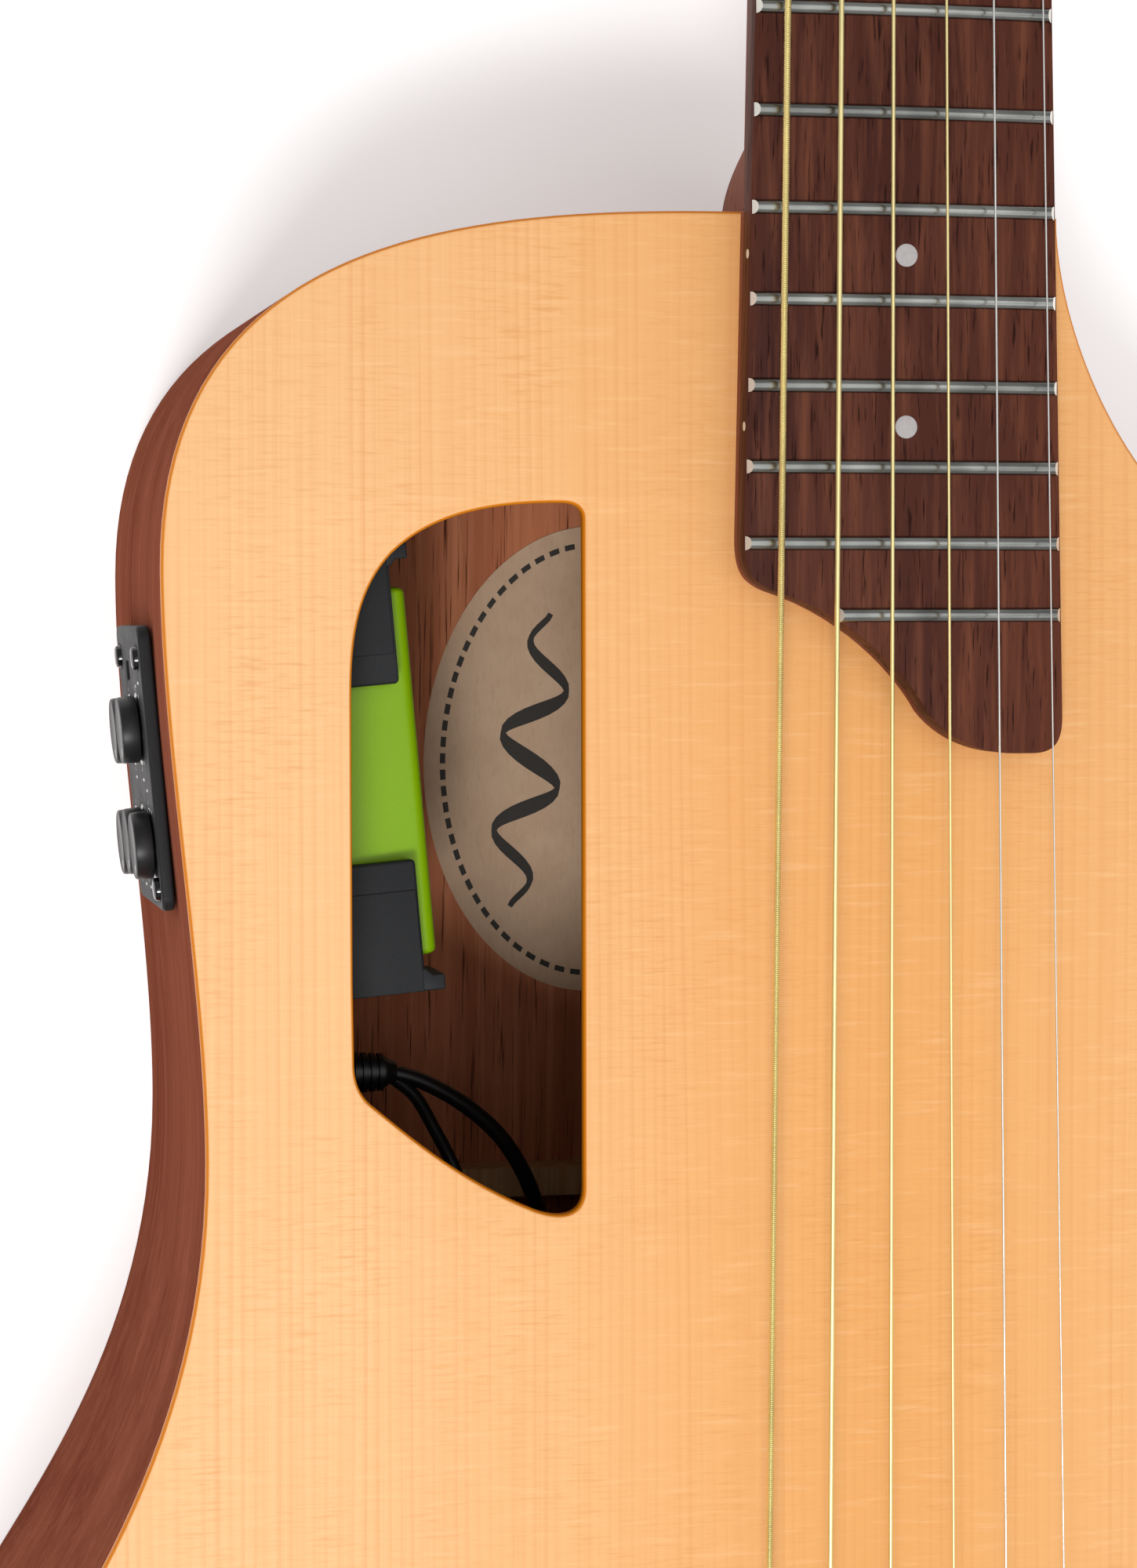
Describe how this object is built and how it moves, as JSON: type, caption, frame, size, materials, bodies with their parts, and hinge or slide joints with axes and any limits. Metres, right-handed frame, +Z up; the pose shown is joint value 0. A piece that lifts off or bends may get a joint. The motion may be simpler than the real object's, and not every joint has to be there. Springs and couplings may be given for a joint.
{
  "type": "acoustic-electric guitar",
  "caption": "Steel-string acoustic guitar with a rounded cutaway, an offset soundhole and a preamp with turning knobs in its side.",
  "frame": {"origin": "on the outer face of the back, under the saddle, on the centre line; the guitar lies on its back", "axes": "+Y from the saddle towards the headstock along the body's back, +X towards the treble side, +Z up out of the soundboard"},
  "size_m": [0.3588, 1.0378, 0.1199],
  "materials": {
    "spruce_top": "satin lacquered spruce, fine straight grain, amber edge",
    "mahogany": "satin stained mahogany",
    "inner_wood": "raw softwood",
    "rosewood": "oiled open-pored rosewood",
    "bone": "polished bone",
    "steel": "plain",
    "bronze_winding": "round-wound",
    "plain_string": "polished steel",
    "nickel": "polished nickel plate",
    "black_plastic": "fine grain",
    "green_plastic": "semi-gloss",
    "black_rubber": "satin jacket"
  },
  "bodies": {
    "guitar": {"soundboard": "spruce_top", "back_plate": "mahogany", "side_bass": "mahogany", "side_treble": "mahogany", "neck": "mahogany", "neck_block": "inner_wood", "tail_block": "inner_wood", "lining_top_bass": "inner_wood", "lining_top_treble": "inner_wood", "lining_back_bass": "inner_wood", "lining_back_treble": "inner_wood", "x_brace_bass": "inner_wood", "x_brace_treble": "inner_wood", "upper_brace": "inner_wood", "back_brace_upper": "inner_wood", "back_brace_lower": "inner_wood", "bridge_plate": "inner_wood", "bridge": "rosewood", "fretboard": "rosewood", "saddle": "bone", "nut": "bone", "truss_rod": "steel", "string_low_e": "bronze_winding", "string_a": "bronze_winding", "string_d": "bronze_winding", "string_g": "bronze_winding", "string_b": "plain_string", "string_high_e": "plain_string", "tuner_housing_low_e": "nickel", "tuner_housing_a": "nickel", "tuner_housing_d": "nickel", "tuner_housing_g": "nickel", "tuner_housing_b": "nickel", "tuner_housing_high_e": "nickel", "preamp_bezel": "black_plastic", "preamp_housing": "green_plastic", "preamp_bracket_upper": "black_plastic", "preamp_bracket_lower": "black_plastic", "output_jack": "nickel", "preamp_cable": "black_rubber"},
    "tuner_button_low_e": {"tuner_button_low_e": "nickel"},
    "tuner_post_low_e": {"tuner_post_low_e": "nickel"},
    "tuner_button_a": {"tuner_button_a": "nickel"},
    "tuner_post_a": {"tuner_post_a": "nickel"},
    "tuner_button_d": {"tuner_button_d": "nickel"},
    "tuner_post_d": {"tuner_post_d": "nickel"},
    "tuner_button_g": {"tuner_button_g": "nickel"},
    "tuner_post_g": {"tuner_post_g": "nickel"},
    "tuner_button_b": {"tuner_button_b": "nickel"},
    "tuner_post_b": {"tuner_post_b": "nickel"},
    "tuner_button_high_e": {"tuner_button_high_e": "nickel"},
    "tuner_post_high_e": {"tuner_post_high_e": "nickel"},
    "knob_volume": {"knob_volume": "black_plastic"},
    "knob_blend": {"knob_blend": "black_plastic"},
    "knob_treble": {"knob_treble": "black_plastic"},
    "knob_middle": {"knob_middle": "black_plastic"},
    "knob_bass": {"knob_bass": "black_plastic"},
    "button_tuner": {"button_tuner": "black_plastic"},
    "button_phase": {"button_phase": "black_plastic"},
    "button_power": {"button_power": "black_plastic"}
  },
  "joints": [
    {"name": "tuner_button_low_e_turn", "type": "hinge", "parent": "guitar", "child": "tuner_button_low_e", "pos_m": [-0.045, 0.70186, 0.0379], "axis": [-1, 0, 0], "continuous": true},
    {"name": "tuner_post_low_e_turn", "type": "hinge", "parent": "guitar", "child": "tuner_post_low_e", "pos_m": [-0.025, 0.69948, 0.05893], "axis": [0, 0.2323, 0.9726], "continuous": true},
    {"name": "tuner_button_a_turn", "type": "hinge", "parent": "guitar", "child": "tuner_button_a", "pos_m": [-0.045, 0.74271, 0.02814], "axis": [-1, 0, 0], "continuous": true},
    {"name": "tuner_post_a_turn", "type": "hinge", "parent": "guitar", "child": "tuner_post_a", "pos_m": [-0.025, 0.74033, 0.04917], "axis": [0, 0.2323, 0.9726], "continuous": true},
    {"name": "tuner_button_d_turn", "type": "hinge", "parent": "guitar", "child": "tuner_button_d", "pos_m": [-0.045, 0.78356, 0.01838], "axis": [-1, 0, 0], "continuous": true},
    {"name": "tuner_post_d_turn", "type": "hinge", "parent": "guitar", "child": "tuner_post_d", "pos_m": [-0.025, 0.78118, 0.03941], "axis": [0, 0.2323, 0.9726], "continuous": true},
    {"name": "tuner_button_g_turn", "type": "hinge", "parent": "guitar", "child": "tuner_button_g", "pos_m": [0.045, 0.78356, 0.01838], "axis": [1, 0, 0], "continuous": true},
    {"name": "tuner_post_g_turn", "type": "hinge", "parent": "guitar", "child": "tuner_post_g", "pos_m": [0.025, 0.78118, 0.03941], "axis": [0, 0.2323, 0.9726], "continuous": true},
    {"name": "tuner_button_b_turn", "type": "hinge", "parent": "guitar", "child": "tuner_button_b", "pos_m": [0.045, 0.74271, 0.02814], "axis": [1, 0, 0], "continuous": true},
    {"name": "tuner_post_b_turn", "type": "hinge", "parent": "guitar", "child": "tuner_post_b", "pos_m": [0.025, 0.74033, 0.04917], "axis": [0, 0.2323, 0.9726], "continuous": true},
    {"name": "tuner_button_high_e_turn", "type": "hinge", "parent": "guitar", "child": "tuner_button_high_e", "pos_m": [0.045, 0.70186, 0.0379], "axis": [1, 0, 0], "continuous": true},
    {"name": "tuner_post_high_e_turn", "type": "hinge", "parent": "guitar", "child": "tuner_post_high_e", "pos_m": [0.025, 0.69948, 0.05893], "axis": [0, 0.2323, 0.9726], "continuous": true},
    {"name": "knob_volume_turn", "type": "hinge", "parent": "guitar", "child": "knob_volume", "pos_m": [-0.13534, 0.20038, 0.06257], "axis": [-0.9962, -0.0865, 0.0052], "range_deg": [-150, 150]},
    {"name": "knob_blend_turn", "type": "hinge", "parent": "guitar", "child": "knob_blend", "pos_m": [-0.1353, 0.19907, 0.04913], "axis": [-0.9962, -0.0865, 0.0052], "range_deg": [-150, 150]},
    {"name": "knob_treble_turn", "type": "hinge", "parent": "guitar", "child": "knob_treble", "pos_m": [-0.13352, 0.1798, 0.06892], "axis": [-0.9962, -0.0865, 0.0052], "range_deg": [-150, 150]},
    {"name": "knob_middle_turn", "type": "hinge", "parent": "guitar", "child": "knob_middle", "pos_m": [-0.13353, 0.17913, 0.05613], "axis": [-0.9962, -0.0865, 0.0052], "range_deg": [-150, 150]},
    {"name": "knob_bass_turn", "type": "hinge", "parent": "guitar", "child": "knob_bass", "pos_m": [-0.13345, 0.17745, 0.04301], "axis": [-0.9962, -0.0865, 0.0052], "range_deg": [-150, 150]},
    {"name": "button_tuner_press", "type": "slide", "parent": "guitar", "child": "button_tuner", "axis": [0.9962, 0.0865, -0.0052], "range_m": [0, 0.0008], "stiffness_N_per_m": 400},
    {"name": "button_phase_press", "type": "slide", "parent": "guitar", "child": "button_phase", "axis": [0.9962, 0.0865, -0.0052], "range_m": [0, 0.0008], "stiffness_N_per_m": 400},
    {"name": "button_power_press", "type": "slide", "parent": "guitar", "child": "button_power", "axis": [0.9962, 0.0865, -0.0052], "range_m": [0, 0.0008], "stiffness_N_per_m": 400}
  ],
  "couplings": [
    {"joint": "tuner_post_low_e_turn", "follows": "tuner_button_low_e_turn", "ratio": -0.066667},
    {"joint": "tuner_post_a_turn", "follows": "tuner_button_a_turn", "ratio": -0.066667},
    {"joint": "tuner_post_d_turn", "follows": "tuner_button_d_turn", "ratio": -0.066667},
    {"joint": "tuner_post_g_turn", "follows": "tuner_button_g_turn", "ratio": 0.066667},
    {"joint": "tuner_post_b_turn", "follows": "tuner_button_b_turn", "ratio": 0.066667},
    {"joint": "tuner_post_high_e_turn", "follows": "tuner_button_high_e_turn", "ratio": 0.066667}
  ]
}
